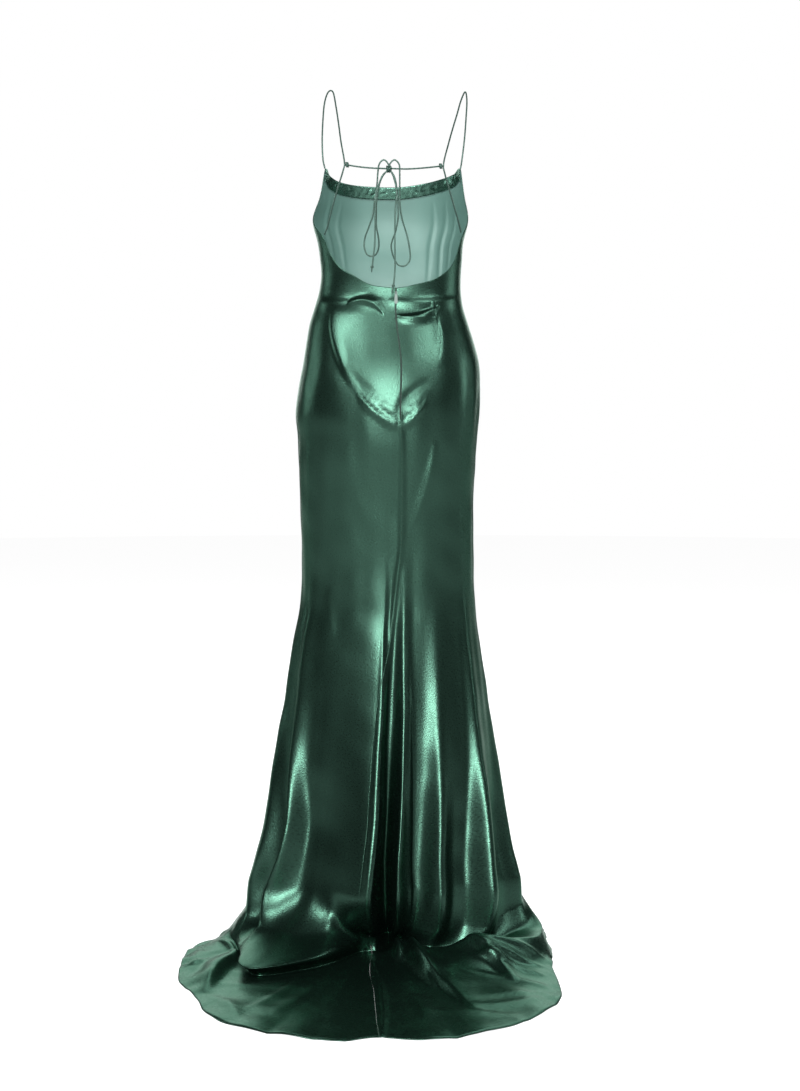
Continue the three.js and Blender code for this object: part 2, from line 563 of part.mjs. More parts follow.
function solid(geometry) {
  const bare = geometry.clone();
  bare.deleteAttribute('normal');
  bare.deleteAttribute('uv');
  const merged = BufferGeometryUtils.mergeVertices(bare, 1e-4);
  return new wasm.Manifold(new wasm.Mesh({
    numProp: 3,
    vertProperties: new Float32Array(merged.attributes.position.array),
    triVerts: new Uint32Array(merged.index.array),
  }));
}

function joined(first, ...others) {
  const mesh = others.reduce((sum, geometry) => sum.add(solid(geometry)), solid(first)).getMesh();
  const geometry = new THREE.BufferGeometry();
  geometry.setAttribute('position', new THREE.Float32BufferAttribute(mesh.vertProperties, 3));
  geometry.setIndex([...mesh.triVerts]);
  geometry.computeVertexNormals();
  return geometry;
}

function ellipsoid(radii, [x, y, z]) {
  return new THREE.SphereGeometry(1, 10, 7).scale(...radii).translate(x, y, z);
}

// A strap's whole route, from the front corner over the shoulder to the back edge
function strapRoute(side) {
  const seat = (angle, clear) => {
    const level = topEdge(angle) - FLOOR - ANKLE;
    const inside = clothNormal(angle, level).multiplyScalar(-WALL / 2);
    return clothPoint(angle, level).add(inside).setZ(topEdge(angle) + clear).toArray();
  };
  const { front, back } = STRAP_SEATS[side];
  return [seat(front, SEAT_CLEAR.front), ...STRAP_ROUTES[side], seat(back, SEAT_CLEAR.back)];
}

// A free end of the bow with its small knot
function bowEnd(points) {
  const path = new THREE.CatmullRomCurve3(points.map((point) => new THREE.Vector3(...point)));
  const knot = path.getPointAt(END_KNOT.at);
  const { radius } = END_KNOT;
  return joined(cordGeometry(points, 26), ellipsoid([radius, radius, radius * 1.2], knot.toArray()));
}

// Where the slider's arch stands: over the zip's slit, just below the top edge
function sliderFrame() {
  const level = rowLevels(SLIDER.at)[0] - SLIDER.below;
  const angle = seamAngle(level);
  const cloth = clothPoint(angle, level);
  const below = clothPoint(angle, level - SLIDER.height);
  return { x: cloth.x, lowY: below.y, axisY: cloth.y + SLIDER.archOuter + SLIDER.stand, z: cloth.z };
}

// Slider: a stem in the slit and an arch that holds the pull's bar
function zipSlider() {
  const { x, lowY, axisY, z } = sliderFrame();
  const { width, height, archOuter, archInner } = SLIDER;
  const arch = new THREE.Shape().absarc(0, 0, archOuter, 0, 2 * Math.PI);
  arch.holes.push(new THREE.Path().absarc(0, 0, archInner, 0, 2 * Math.PI, true));
  const ring = new THREE.ExtrudeGeometry(arch, { depth: width, bevelEnabled: false, curveSegments: 10 })
    .translate(0, 0, -width / 2).rotateY(Math.PI / 2).translate(x, axisY, z);
  const stemIn = lowY - WALL - SLIDER.inset;
  const stemOut = axisY - archInner - SLIDER.inset;
  const stem = new THREE.BoxGeometry(width, stemOut - stemIn, height)
    .translate(x, (stemIn + stemOut) / 2, z - height / 2 + archOuter);
  return joined(stem, ring);
}

// Teardrop pull: a plate hung from its top bar, with a window that the arch passes through
function zipPull() {
  const { x, axisY, z } = sliderFrame();
  const { length, width, neck, thickness, window, lean, rim, bridge, shoulder } = PULL;
  const bar = thickness / 2;
  const outline = new THREE.Shape();
  outline.moveTo(neck / 2, bar);
  outline.lineTo(-neck / 2, bar);
  outline.lineTo(-neck / 2, -window - bridge);
  outline.quadraticCurveTo(-width / 2, -length * shoulder, -width / 2, -length + width / 2);
  outline.absarc(0, -length + width / 2, width / 2, Math.PI, 2 * Math.PI, false);
  outline.quadraticCurveTo(width / 2, -length * shoulder, neck / 2, -window - bridge);
  const eye = new THREE.Path();
  eye.moveTo(-neck / 2 + rim, -bar);
  eye.lineTo(neck / 2 - rim, -bar);
  eye.lineTo(neck / 2 - rim, -bar - window);
  eye.lineTo(-neck / 2 + rim, -bar - window);
  outline.holes.push(eye);
  const geometry = new THREE.ExtrudeGeometry(outline,
    { depth: thickness, bevelEnabled: false, curveSegments: 6 });
  return geometry.translate(0, 0, -thickness / 2).rotateX(Math.PI / 2 + lean)
    .translate(x, axisY, z);
}

const satin = new THREE.MeshStandardMaterial({ color: 0x3f5f50, roughness: 0.32, metalness: 0.2 });
const facingSatin = new THREE.MeshStandardMaterial({ color: 0x5b8070, roughness: 0.35 });
const rouleau = new THREE.MeshStandardMaterial({ color: 0x35493f, roughness: 0.45 });
const tape = new THREE.MeshStandardMaterial({ color: 0x1e2c26, roughness: 0.8 });
const enamel = new THREE.MeshStandardMaterial({ color: 0x86a898, roughness: 0.35, metalness: 0.3 });

const group = new THREE.Group();
function place(name, geometry, material) {
  const mesh = new THREE.Mesh(geometry, material);
  mesh.name = name;
  group.add(mesh);
}

place('front_panel', frontPanel(), satin);
place('back_left_panel', backPanel(1), satin);
place('back_right_panel', backPanel(-1), satin);
place('front_neck_facing', neckFacing(), facingSatin);
place('zip_tape', zipTape(), tape);
place('zip_slider', zipSlider(), enamel);
place('zip_pull', zipPull(), enamel);
place('bow_knot', ellipsoid(BOW_KNOT.radii, BOW_KNOT.centre), rouleau);
for (const side of ['left', 'right']) {
  place(`strap_${side}`, cordGeometry(strapRoute(side), 44), rouleau);
  place(`strap_knot_${side}`, ellipsoid(STRAP_KNOT_RADII, STRAP_KNOTS[side]), rouleau);
  place(`tie_${side}`, cordGeometry(TIE_ROUTES[side], 10), rouleau);
  place(`bow_loop_${side}`, cordGeometry(LOOP_ROUTES[side], 48), rouleau);
  place(`bow_end_${side}`, bowEnd(END_ROUTES[side]), rouleau);
}

export default group;
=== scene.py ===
"""Long satin slip gown seen from behind: open tied back, bow, concealed zip, flared skirt and train.

Lengths in the tables are millimetres in the gown's own frame, and MM turns them into metres.
Angles go round the body in degrees: 0 at the centre back, 90 at the wearer's left, 180 in front.
"""
import math

import bpy
import numpy as np
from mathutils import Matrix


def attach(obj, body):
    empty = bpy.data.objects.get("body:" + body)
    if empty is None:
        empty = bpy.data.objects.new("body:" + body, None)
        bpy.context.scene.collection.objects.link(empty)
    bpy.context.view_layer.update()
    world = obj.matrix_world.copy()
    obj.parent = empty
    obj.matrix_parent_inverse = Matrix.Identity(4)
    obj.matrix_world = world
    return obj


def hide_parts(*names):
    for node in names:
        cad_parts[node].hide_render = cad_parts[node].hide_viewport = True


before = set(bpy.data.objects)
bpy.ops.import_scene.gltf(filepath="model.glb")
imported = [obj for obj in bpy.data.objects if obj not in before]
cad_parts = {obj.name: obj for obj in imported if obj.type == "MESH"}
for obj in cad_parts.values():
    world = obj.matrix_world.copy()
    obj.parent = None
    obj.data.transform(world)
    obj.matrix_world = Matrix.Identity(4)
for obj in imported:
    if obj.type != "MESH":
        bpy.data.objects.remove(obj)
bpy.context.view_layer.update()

MM = 0.001
FLOOR = -1520.0  # the floor under the strap tops
WALL = 1.1  # satin with its turned hems
FLOOR_GAP = 0.4  # least space between the train and the floor
SEAM_HALF_GAP = 0.12
SIDE_GAP = 0.05  # degrees kept free on each side of a side seam
ZIP_HALF_GAP = 1.3
YOKE = -400.0  # down to here the rows follow the top edge
ZIP_END = -578.0
ANKLE = 124.0  # height above the floor where the skirt leaves the body's sections
SQUARENESS = 0.05  # bulge of a section between its four sides, as a share
INSTEP = np.array([0.32, 0.32, 0.70])  # share of the way from ankle to break: sideways and down
BODY_RADIUS = 160.0  # turns an angle into a width on the cloth, for creases and patterns
CORD = 2.8  # diameter

# How finely the pieces are drawn: columns, then rows on the bodice, down the body, over the train
BACK_GRID = (150, 46, 150, 112)
FRONT_GRID = (190, 46, 130, 60)
COLUMN_CROWD = 1.25  # the backs' columns stand closer at the centre seam
ROW_CROWD = 0.9  # the train's rows stand closer at the hem
SEAM_ROWS_AT = -6.0  # angle at which the rows of the centre seam take their levels
SEAM_STEP = 0.1  # degrees each way for the cloth's width at the seam
SIDE_SEAM_DOWN = ([0, 1, 2, 3], [0, 0.18, 0.69, 1.0])  # row, share of the way down
SIDE_SEAM_LEAN = 6  # degrees towards the front at the floor

SECTIONS = np.array([
    # height, centre x, half-width, depth behind, depth before
    (1420, -8, 122, 92, 106), (1382, -7, 125, 90, 112), (1340, -6, 130, 86, 124),
    (1297, -3, 139, 84, 130), (1255, -3, 130, 82, 122), (1226, -4, 127, 82, 110),
    (1198, -4, 125, 82, 101), (1169, -2, 127, 84, 98), (1141, 0, 133, 89, 99),
    (1112, 0, 142, 97, 102), (1084, -2, 149, 106, 106), (1041, -4, 158, 120, 112),
    (998, -1, 163, 130, 115), (955, 2, 165, 134, 116), (912, 2, 161, 132, 116),
    (868, 3, 159, 126, 114), (796, 4, 156, 114, 110), (688, 2, 155, 104, 106),
    (615, 2, 157, 104, 110), (564, 4, 164, 109, 117), (499, 5, 174, 120, 128),
    (433, 5, 183, 133, 140), (367, 6, 194, 147, 154), (301, 6, 204, 160, 168),
    (235, 6, 212, 172, 182), (168, 8, 225, 184, 198), (124, 7, 236, 190, 210),
], float)[::-1]
TOP_EDGE = np.array([
    # angle, height of the edge
    (-174, -154), (-158, -150), (-137, -142), (-120, -136), (-103, -131), (-97, -170),
    (-90, -207), (-82, -232), (-73, -248), (-65, -278), (-55, -306), (-38, -329), (-23, -339),
    (-8, -346), (5, -345), (17, -340), (30, -325), (44, -308), (54, -284), (62, -253),
    (75, -236), (90, -212), (97, -173), (103, -131), (116, -139), (131, -147), (148, -152),
    (167, -154),
], float)
BACK_SEAM = np.array([
    # height above the floor, angle; below the ankle the height stands for the way to the hem
    (1420, -5), (1170, -5), (951, -8), (800, -10), (678, -8), (540, -1), (440, 4.5), (300, 7),
    (200, 8), (124, 9.5), (74, 12), (50, 11), (37, 7.5), (25, 3.6), (0, 1),
], float)[::-1]
# Folds of the skirt, a row for each ridge or valley all round: its angle at four heights, and how
# far it stands out (a valley is negative) at the floor and at the lowest three of those heights
FOLD_HEIGHTS = np.array([60.0, 200.0, 380.0, 640.0])
FOLD_TOP = 800.0  # the folds have run out here
FOLD_RISE = 0.12  # what is left of a fold at the highest row, as a share of the row below
RIDGE_EDGE = 1.5  # how much tighter a fold bends at its ridge than in its valley
FOLDS = np.array([
    # angle at 60, 200, 380 and 640; out at the floor, at 60, 200 and 380
    (-157, -157, -158, -158, -24, -24, -16, -5), (-131, -132, -133, -134, 18, 18, 13, 4),
    (-107, -107, -108, -109, -18, -20, -14, -4), (-76, -82, -88, -88, 8, 11, 9, 3),
    (-60, -65, -70, -72, -6, -13, -13, -4), (-42, -48, -52, -56, 10, 28, 26, 9),
    (-32, -38, -44, -47, -6, -14, -12, -4), (-21, -25, -29, -32, 4, 14, 9, 3),
    (-12, -15, -18, -19, -8, -14, -14, -5), (-4, -6, -9, -11, 16, 30, 24, 9),
    (0, -0.6, -2.5, -4, -30, -80, -50, -14), (9, 4, 2.6, 2, 12, 34, 28, 10),
    (36, 39, 40, 40, 0, -14, -22, -10), (56, 48, 53, 58, 6, 22, 16, 6),
    (61, 55, 60, 66, 0, -12, -12, -4), (70, 65, 75, 83, 6, 22, 16, 5),
    (106, 107, 108, 108, -18, -22, -15, -4), (128, 130, 131, 132, 18, 18, 13, 4),
    (151, 151.5, 152, 152, -24, -24, -16, -5), (175, 175.5, 176, 176, 20, 20, 14, 5),
], float)
SWEEP = np.array([
    # angle, break or lobe (distance, height), tuck or crest (distance, height),
    # middle of the train (distance, height), hem (distance)
    (-165, 219, 84, 231, 46, 240, 18, 248), (-138, 242, 84, 254, 46, 264, 18, 272),
    (-112, 258, 84, 272, 46, 284, 18, 295), (-90, 254, 70, 268, 42, 278, 18, 286),
    (-76, 250, 40, 280, 32, 286, 18, 292), (-64, 240, 28, 300, 34, 312, 18, 322),
    (-56, 232, 24, 306, 38, 326, 16, 344), (-48, 224, 22, 288, 44, 342, 12, 380),
    (-40, 214, 22, 262, 52, 340, 12, 446), (-34, 208, 22, 250, 48, 344, 12, 510),
    (-28, 202, 22, 236, 34, 350, 10, 560), (-20, 188, 24, 210, 26, 366, 7, 610),
    (-12, 162, 26, 182, 20, 380, 6, 652),
    (-5, 130, 28, 156, 14, 390, 6, 668), (1, 112, 26, 150, 10, 390, 6, 650),
    (6, 128, 28, 150, 10, 386, 6, 670), (13, 150, 34, 152, 10, 380, 6, 664),
    (20, 184, 30, 166, 8, 376, 5, 642), (24, 278, 27, 238, 7, 380, 5, 626),
    (29, 344, 25, 308, 7, 400, 5, 596), (35, 400, 24, 376, 8, 440, 5, 540),
    (40, 392, 25, 370, 9, 436, 5, 510), (46, 352, 28, 336, 12, 408, 6, 487),
    (53, 320, 27, 318, 15, 384, 9, 448), (61, 302, 30, 308, 20, 356, 12, 410),
    (71, 284, 40, 296, 28, 328, 14, 374), (84, 266, 62, 280, 38, 296, 14, 316),
    (100, 262, 84, 276, 46, 288, 18, 298), (117, 262, 84, 280, 46, 296, 18, 310),
    (138, 242, 84, 256, 46, 268, 18, 277), (165, 219, 84, 231, 46, 240, 18, 248),
], float)
HEM_Z = 2.2
# Folds lying on the train: start and end on the floor (x, y), bow, width on the left and on the
# right of the way along it, height
TRAIN_FOLDS = np.array([
    (4, 150, -134, 493, 6, 50, 6, 17), (-8, 118, -16, 225, 4, 9, 8, 18),
    (-34, 118, -74, 370, -6, 14, 9, 20), (-140, 205, -212, 330, 8, 20, 10, 15),
    (262, 190, 302, 392, -14, 16, 30, 18), (-112, 492, -250, 436, -8, 10, 14, 7),
    (-60, 505, -215, 520, -10, 12, 14, 7), (335, 140, 350, 330, 6, 14, 14, 8),
], float)

# Where a form comes in: the angle or level where it starts, and how far on it is whole
FRONT_HEM = (85, 30)  # beyond this angle the skirt's folds run on over the floor to the hem
TUCK_FOLD = 0.5  # what is left of them at the tuck behind
LEAVE = 20.0  # height above the ankle from which the body's direction is taken
LYING = (-0.44, 0.2)  # folds lying on the train, by level
LYING_BEHIND = (100, 20)  # and by angle
EASE = (-0.8, 0.2, 0.6)  # near the hem they lose this share of their height
SHEATH_START = (1140, 200)  # ripples of the skirt, by height
SMALL_BEHIND = (110, 20)  # small forms of the train, by angle
SMALL_LYING = (-0.5, 0.2)  # and by level
HEM_LIFT = (-0.86, 0.14, 2.2)  # waver of the hem, and its height
BODY_BLEND, FINE_BLEND = 0.02, 0.3  # levels over which body creases and fine folds run out

# Soft ripples: height, seed, longest wave, shortest wave
SHEATH_RIPPLE = (0.45, 3, 90.0, 24.0)
TRAIN_RIPPLES = ((0.8, 5, 160, 60), (0.2, 8, 60, 22))
HEM_RIPPLE = (1.0, 11, 120, 40)
FACING_RIPPLE = (1.1, 21, 34, 12)
RIPPLE_WAVES = 9
SHEATH_STRETCH = 0.45  # the skirt's ripples are longer up and down
HEM_WIDTH = 5  # millimetres of hem to a degree, for its waver

# Profile of a crease: how far it runs past each end of its chord, as a share of the chord, the
# power of its fade, and the width left at its tips
CREASE_PAST, CREASE_FADE, CREASE_TIP = 0.06, 0.7, 0.45
FINE_TIP, FINE_SPREAD = 0.4, 0.7  # width left at the top of a fine fold, power of its widening

# Creases on the body: start and end as angle and height above the floor, bow across their line,
# width on the left and on the right of the way along it, height (a trough is negative)
CREASES = np.array([
    # the soft roll under the back edge, and the two puckers below it
    (68, 1152, 6, 1150, 5, 12, 8, 3.0), (-62, 1156, -2, 1150, -5, 8, 12, 3.0),
    (30, 1146, 4, 1130, -12, 5, 10, 4.6), (-8, 1122, -38, 1140, 6, 9, 5, 4.2),
    (-6, 1124, -34, 1120, 3, 4, 5, 1.8), (-34, 1148, -35, 1118, 2, 4, 4, 1.6),
    # drag line from the left hip to the foot of the zip, and its fellow on the right
    (44, 1122, 20, 996, 7, 5, 26, 4.6), (-38, 1114, -30, 1040, -5, 6, 20, 2.0),
    # the V at the foot of the zip
    (20, 994, -7, 930, 7, 4, 5, 4.4), (17, 999, -5, 958, 5, 4, 4, 2.6),
    (-9, 931, -23, 972, 3, 5, 4, 4.2), (-10, 956, -20, 974, 3, 4, 4, 2.4),
    (26, 1030, 4, 968, 4, 10, 10, -2.6), (-6, 965, -24, 1010, -3, 8, 8, -2.2),
    # the ridge along the centre back seam
    (-8.3, 938, -8.5, 690, -4.5, 6, 6, 3.2), (-8.6, 720, 1, 390, 4, 6, 6, 3.0),
    # long soft drags
    (-30, 896, -18, 765, -6, 9, 12, 4.6), (24, 900, 12, 760, 8, 14, 14, 1.2),
    (40, 640, 34, 560, 6, 10, 10, 1.5), (82, 960, 84, 860, 4, 10, 10, 1.2),
    (150, 1150, 118, 1128, 8, 7, 7, -2.0), (206, 1150, 238, 1126, -8, 7, 7, -2.0),
    (160, 1090, 128, 1062, 8, 9, 9, 1.6), (198, 1092, 232, 1060, -8, 9, 9, 1.6),
    (172, 930, 150, 780, 10, 14, 14, 1.4), (190, 930, 212, 790, -10, 14, 14, 1.4),
    # soft upright folds of the front, seen inside through the open back
    (124, 1335, 127, 1195, 2, 5, 8, -3.0), (138, 1330, 140, 1210, -2, 6, 6, -1.8),
    (214, 1330, 211, 1190, 2, 5, 7, -2.4), (226, 1335, 222, 1185, -2, 5, 7, -3.0),
    (236, 1330, 231, 1200, 2, 4, 6, -2.6),
], float)

# Narrow folds of the skirt beside the big ones: angle at the start and at the floor, height of
# the start, how far out, width
FINE_FOLDS = np.array([
    (-14, -10, 640, 6.5, 3.4), (1, 7, 640, 6, 3.4), (-31, -23, 560, 2, 6), (38, 38, 520, -3, 7),
    (112, 112, 520, 3, 6), (140, 138, 520, -3, 6), (165, 164, 540, 3, 6), (188, 188, 520, -3, 6),
    (214, 215, 520, 3, 6), (240, 242, 520, 3, 6),
], float)

# Smaller folds on the train, in the same columns as the main ones
TRAIN_CREASES = np.array([
    (150, 320, 216, 478, 8, 14, 10, 4), (100, 300, 180, 520, 6, 12, 16, 3),
    (60, 300, 90, 560, -8, 16, 16, 3), (-150, 250, -262, 300, 8, 7, 9, 6),
    (-160, 230, -268, 250, 6, 8, 8, 3.5), (-140, 300, -262, 372, 8, 10, 9, 3.5),
    (-165, 214, -270, 205, 4, 7, 7, 3), (22, 234, 6, 640, 6, 5, 5, 4),
    (300, 110, 266, 205, 6, 7, 8, 6), (310, 210, 352, 250, 4, 9, 9, 4),
    (290, 420, 240, 540, 8, 14, 12, 4), (-40, 420, -60, 560, 8, 16, 14, 3),
    (-150, 430, -262, 405, 6, 8, 8, 3),
], float)

STRAP_ROUTES = {
    "left": [
        (114.5, -25.5, -130.4), (118.5, -31, -112), (120, -36, -80), (118.5, -29, -45),
        (115, -17, -14), (108, -4, 3.5), (99, 9, 2), (93, 28, -27), (88, 48, -59),
        (83.4, 68, -92), (77, 87, -129), (79, 90, -143), (90, 82, -177), (101, 64, -213),
        (108, 49, -238), (114.4, 39.8, -252.4)],
    "right": [
        (-128.5, -25.5, -130.4), (-131.5, -31, -112), (-136, -34, -75), (-138.5, -25, -38),
        (-139.5, -13, -10), (-136, 1, 3.5), (-128, 14, -14), (-121, 30, -39), (-113, 48, -66),
        (-105, 66, -95), (-96, 88, -132), (-98.5, 89, -150), (-107.5, 78, -180),
        (-118, 56, -212), (-125, 37, -234), (-128.6, 24.6, -247.4)],
}
TIE_ROUTES = {
    "left": [(76.6, 89.2, -133), (68.4, 90.6, -134.7), (50, 96, -138), (28, 101, -140.5),
             (4.5, 104.2, -141.7), (0.5, 105, -142)],
    "right": [(-95.4, 90, -136), (-87.3, 91.6, -136.7), (-64, 96, -139.5), (-34, 101, -142),
              (-6.6, 104.2, -141.7), (-2.5, 105, -142)],
}
LOOP_ROUTES = {
    "left": [
        (-1, 106, -144), (0.5, 107, -134), (8, 107.5, -127), (16, 107, -134), (18.5, 106.5, -149),
        (20, 106, -169), (24, 107, -196),
        (27, 105, -222), (34, 103, -242), (41, 101, -261), (42, 101, -279), (36, 101, -291),
        (25, 102, -292), (18, 104, -282), (17, 107, -265), (21, 110, -241), (21, 113, -205),
        (17, 114, -175), (11, 113, -157), (3.5, 111.5, -147.3)],
    "right": [
        (-1, 106, -144), (-2.5, 107, -134), (-10.5, 107.5, -127), (-18.5, 107, -135),
        (-19.5, 106.5, -151), (-19.5, 106, -170), (-20, 107, -205),
        (-24, 105, -230), (-32, 103, -256), (-37, 102, -282), (-37, 102, -300),
        (-27, 102, -310), (-15, 103, -306), (-7, 105, -289), (-5, 107, -272), (-13, 110, -248),
        (-17, 112.5, -222), (-15.5, 113.5, -188), (-12, 113, -162), (-5.5, 111.5, -147.3)],
}
END_ROUTES = {
    "left": [
        (1.2, 115.8, -145.8), (12, 118, -158), (21, 119, -188), (23, 118, -231),
        (24, 117, -274), (27, 116, -300), (29.5, 116, -322)],
    "right": [
        (-3.2, 115.8, -145.8), (-9, 118, -158), (-14, 119.5, -182), (-12, 120, -217),
        (-11, 121, -265), (-11.5, 121.5, -303), (-10, 121.5, -334), (-5.5, 121.5, -359)],
}
# Each knot: reach along its axis and across it two ways, turns of the cord, lean of a turn
BOW_WIND = ((4.4, 6.4, 5.0), 3, 1.6)
STRAP_WIND = ((2.2, 2.9, 3.6), 2, 1.2)
END_WIND = ((1.4, 1.9, 1.9), 2, 0.5)
END_WIND_RADIUS = 1.1  # the end knots are pulled tighter than the cord
TURN_POINTS = 10  # points to a turn
BOW_KNOT = (-1.0, 108.0, -143.0)
STRAP_KNOTS = {"left": (72.1, 89.2, -133.5), "right": (-91.0, 90.2, -136.0)}
END_KNOTS = {"left": (28.6, 116.0, -312.0), "right": (-8.3, 121.5, -345.0)}

# The cord's form: swell from uneven pull and its pitch, dent of the seam, its angle and narrowness
CORD_SWELL, CORD_PITCH = 0.05, 0.9
CORD_DENT, CORD_SEAM_AT, CORD_SEAM_NARROW = 0.10, 2.0, 0.97
CORD_TIP = 0.02  # keeps the rounded ends from closing to a point
CORD_ROUND = 0.009  # way round the cord on its cloth map, in metres

# The neck facing: rows and columns, first and last angle, way below the edge, depth, width of a
# degree on its cloth map, distance under the front, share of its ripples, lean at the lower edge
FACING_GRID = (16, 260)
FACING_ENDS = (103.3, 256.7)
FACING_DROP, FACING_DEPTH, FACING_DEGREE = 0.4, 21.0, 2.3
FACING_UNDER, FACING_SWELL, FACING_LEAN = 0.9, 0.6, 0.8
FACING_WALL = 0.8

# The camera, in metres and degrees: place over the floor, tilt down, focal length in millimetres
CAMERA_PLACE = (-0.020, 4.0, 1.0)
CAMERA_TILT, CAMERA_LENS, CAMERA_FILM = 4.09, 73.25, 36.0

# Banks of light in metres: name, place, aim, width and height, radiance of the face
BANKS = (
    ("high_left_bank", (1.7, 2.4, 1.8), (0, 0, -0.7), (0.8, 0.8), 68),
    ("high_right_bank", (-1.7, 2.4, 1.8), (0, 0, -0.7), (0.8, 0.8), 40),
    ("key_bank", (0.3, 3.4, 1.4), (0, 0, -0.8), (1.0, 0.7), 10),
    ("front_bank", (0.1, 4.3, 0.35), (0, 0, -1.1), (0.7, 1.0), 118),
    ("front_glow", (0, 4.2, 1.4), (0, 0, -0.8), (5.0, 1.2), 1.2),
    ("left_bank", (2.8, -0.9, 0.0), (0, 0, -1.1), (0.5, 1.2), 9),
    ("right_bank", (-2.8, -0.2, 0.0), (0, 0, -1.1), (0.5, 1.2), 11),
    ("back_bank", (0, -4.5, 0.4), (0, 0, -1.2), (5.0, 2.4), 3.0),
    ("top_bank", (-1.0, -2.4, 2.4), (0, 0.4, -1.4), (4.0, 1.6), 6.0),
)
STUDIO_REACH, STUDIO_HEIGHT, STUDIO_SIDES = 11.0, 12, 48
WORLD_LIGHT = 0.05


def hermite(keys, values, at, period=None):
    """Cubic Hermite curve through the rows, each tangent the slope between its two neighbours."""
    keys, values = np.asarray(keys, float), np.asarray(values, float)
    if period:
        at = (np.asarray(at, float) + period / 2) % period - period / 2
        keys = np.concatenate([keys[-2:] - period, keys, keys[:2] + period])
        values = np.concatenate([values[-2:], values, values[:2]])
    tangents = np.zeros_like(values)
    tangents[1:-1] = (values[2:] - values[:-2]) / (keys[2:] - keys[:-2])
    if not period:
        tangents[0] = (values[1] - values[0]) / (keys[1] - keys[0])
        tangents[-1] = (values[-1] - values[-2]) / (keys[-1] - keys[-2])
    i = np.clip(np.searchsorted(keys, at, side="right") - 1, 0, len(keys) - 2)
    width = keys[i + 1] - keys[i]
    t = np.clip((at - keys[i]) / width, 0, 1)
    return (values[i] * (1 + 2 * t) * (1 - t) ** 2 + tangents[i] * width * t * (1 - t) ** 2
            + values[i + 1] * t * t * (3 - 2 * t) + tangents[i + 1] * width * t * t * (t - 1))


def smoothstep(t):
    """Nothing up to 0, one from 1 on, and t * t * (3 - 2 t) between them."""
    t = np.clip(t, 0, 1)
    return t * t * (3 - 2 * t)


def bell(offset):
    """One at the middle, falling as a cosine to nothing at an offset of one."""
    return np.where(np.abs(offset) < 1, 0.5 + 0.5 * np.cos(np.pi * np.clip(offset, -1, 1)), 0)


def turn_between(angle, centre):
    """Angle from the centre, wrapped to lie between -180 and 180."""
    return (angle - centre + 180) % 360 - 180


def width_of(angle):
    """An angle as a width on the cloth: the arc that it takes on the body's mean circle."""
    return angle * BODY_RADIUS * math.pi / 180


def top_edge(angle):
    """Height of the gown's top edge at an angle, under the strap tops."""
    return hermite(TOP_EDGE[:, 0], TOP_EDGE[:, 1], angle, 360)


def seam_angle(level):
    """Angle of the centre back seam at a level, as cloth_point counts levels."""
    height = np.where(level >= 0, ANKLE + level, ANKLE * (1 + level))
    return hermite(BACK_SEAM[:, 0], BACK_SEAM[:, 1], height)


def fold_relief(angle, height, on_floor=False):
    """Relief of the skirt's folds: from each ridge or valley to the next, in the order of their
    angles, it climbs by smoothstep(share ** RIDGE_EDGE), share counted from the valley. Angles and
    depths run smoothly with the height."""
    heights = np.broadcast_to(height, np.broadcast(angle, height).shape)
    levels = np.append(FOLD_HEIGHTS, FOLD_TOP)
    lines = []
    for row in FOLDS:
        place = hermite(FOLD_HEIGHTS, row[:4], heights)
        depths = np.append(row[5:8], [FOLD_RISE * row[7], 0])
        lines.append((place, row[4] + 0 * place if on_floor else hermite(levels, depths, heights)))
    lines.append((lines[0][0] + 360, lines[0][1]))
    turned = lines[0][0] + (angle - lines[0][0]) % 360
    relief = lines[0][1].copy()
    for (start, low), (end, high) in zip(lines[:-1], lines[1:]):
        rise = high - low
        share = np.clip((turned - start) / (end - start), 0, 1)
        upward = smoothstep(share ** RIDGE_EDGE)
        downward = 1 - smoothstep((1 - share) ** RIDGE_EDGE)
        relief += rise * np.where(rise > 0, upward, downward)
    return relief


def fine_relief(angle, height):
    """Narrow folds beside the main ones: cosine bells that grow deeper and wider downwards."""
    relief = np.zeros(np.broadcast(angle, height).shape)
    for top, foot, start, depth, width in FINE_FOLDS:
        down = np.clip(1 - height / start, 0, 1)
        centre = top + (foot - top) * down
        relief += depth * smoothstep(down) * bell(turn_between(angle, centre)
                                                  / (width * (FINE_TIP + (1 - FINE_TIP)
                                                              * down ** FINE_SPREAD)))
    return relief


def body_point(angle, height, out=0.0):
    """Ellipse of the section at a height, squared a little and pushed out by the folds."""
    turn = np.radians(angle)
    bulge = 1 + SQUARENESS * np.sin(2 * turn) ** 2
    column = [hermite(SECTIONS[:, 0], SECTIONS[:, k], height) for k in (1, 2, 3, 4)]
    depth = np.where(np.cos(turn) > 0, column[2], column[3])
    relief = fold_relief(angle, height) + out
    return np.stack([column[0] + (column[1] * bulge + relief) * np.sin(turn),
                     (depth * bulge + relief) * np.cos(turn),
                     FLOOR + height + 0 * turn], -1)


def crease_field(u, v, table):
    """Height of the creases at a point. Each is a Gaussian ridge or trough across a bowed line,
    across = distance from the chord less bow * 4 s (1 - s), with its own width on each side. It
    is highest at the middle and fades to nothing, growing narrower, at both ends."""
    field = np.zeros_like(u)
    for u0, v0, u1, v1, bow, left, right, height in table:
        du, dv = u1 - u0, v1 - v0
        length = math.hypot(du, dv)
        s = ((u - u0) * du + (v - v0) * dv) / length ** 2
        across = ((v - v0) * du - (u - u0) * dv) / length - bow * 4 * s * (1 - s)
        share = np.clip((s + CREASE_PAST) / (1 + 2 * CREASE_PAST), 0, 1)
        lens = np.sin(math.pi * share) ** CREASE_FADE
        width = np.where(across > 0, left, right) * (CREASE_TIP + (1 - CREASE_TIP) * lens)
        field += height * lens * np.exp(-(across / width) ** 2)
    return field


